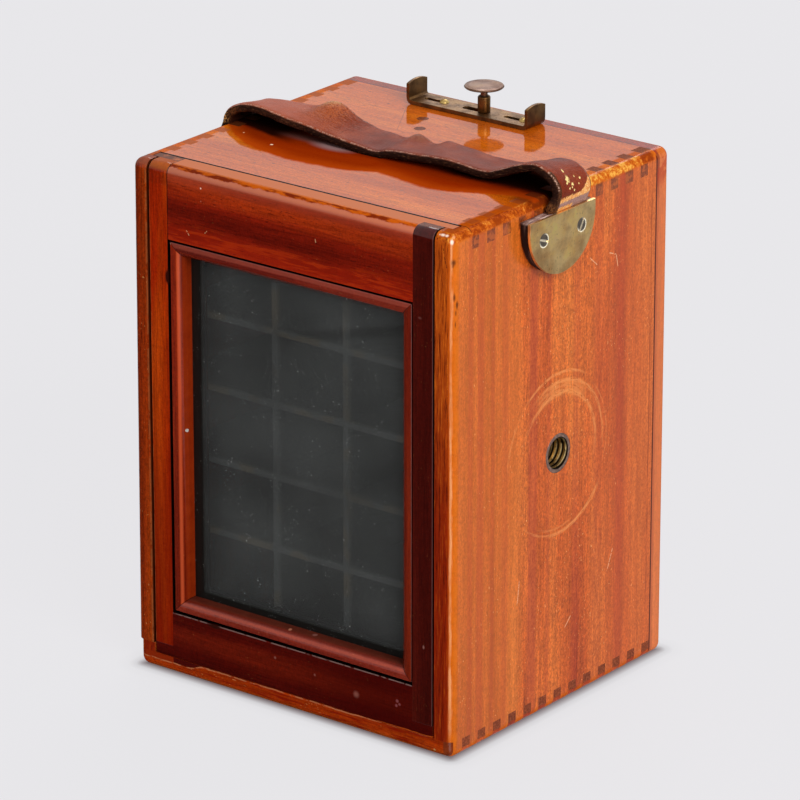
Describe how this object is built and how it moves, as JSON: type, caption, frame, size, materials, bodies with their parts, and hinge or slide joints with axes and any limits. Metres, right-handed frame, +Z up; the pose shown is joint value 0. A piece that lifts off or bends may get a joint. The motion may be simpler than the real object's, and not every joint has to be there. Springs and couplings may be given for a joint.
{
  "type": "stamp camera",
  "caption": "Wooden multi-lens stamp camera: comb-jointed box, lift-out focusing screen, partitioned chamber, sliding plate shutter with push button, leather strap.",
  "frame": {"origin": "bottom centre of the box", "axes": "+Z up; -Y is the face with the focusing screen, +Y the lens panel; +X is the side wall with the tripod bush"},
  "size_m": [0.119, 0.0988, 0.1593],
  "materials": {
    "wall_wood": "oiled and polished mahogany, worn",
    "top_wood": "polished mahogany, glossy",
    "screen_wood": "dark red polished mahogany",
    "bead_wood": "polished mahogany beading",
    "dark_plug": "dark dowel",
    "blackened_wood": "blackened, matt",
    "blackened_steel": "blackened, matt",
    "steel": "worn bright",
    "brass_aged": "aged, brown and spotted",
    "brass_bright": "satin",
    "lens_glass": "clear",
    "ground_glass": "fine ground",
    "leather": "dark brown, worn to tan on the bends"
  },
  "bodies": {
    "box": {"left_wall": "wall_wood", "right_wall": "wall_wood", "left_edge_strip": "wall_wood", "top_board": "top_wood", "base_board": "top_wood", "lens_panel": "wall_wood", "top_plugs": "dark_plug", "panel_screws": "brass_bright", "lens_board": "blackened_wood", "lens_cells": "brass_bright", "lens_glasses": "lens_glass", "stop_plate": "blackened_steel", "shutter_rail_bottom": "blackened_wood", "shutter_rail_top": "blackened_wood", "partition_uprights": "blackened_wood", "partition_shelves": "blackened_wood", "bar_screws": "brass_bright", "button_socket": "brass_aged", "button_barrel": "brass_aged", "button_spring": "steel", "strap": "leather", "strap_plate_left": "brass_aged", "strap_plate_right": "brass_aged", "strap_screws": "steel", "tripod_bush": "brass_bright"},
    "screen": {"screen_stile_left": "screen_wood", "screen_stile_right": "screen_wood", "screen_rail_top": "screen_wood", "screen_rail_bottom": "screen_wood", "bead_left": "bead_wood", "bead_right": "bead_wood", "bead_top": "bead_wood", "bead_bottom": "bead_wood", "bead_pin": "steel", "ground_glass": "ground_glass"},
    "shutter": {"slide_bar": "brass_aged", "drive_pins": "brass_aged", "shutter_plate": "blackened_steel"},
    "push_button": {"button": "brass_aged"}
  },
  "joints": [
    {"name": "screen_lift", "type": "slide", "parent": "box", "child": "screen", "axis": [0, 0, 1], "range_m": [0, 0.14]},
    {"name": "shutter_slide", "type": "slide", "parent": "box", "child": "shutter", "axis": [1, 0, 0], "range_m": [0, 0.006]},
    {"name": "button_press", "type": "slide", "parent": "box", "child": "push_button", "axis": [0, 0, -1], "range_m": [0, 0.0015], "stiffness_N_per_m": 250, "springref_m": -0.001, "deforming": ["button_spring"]}
  ]
}
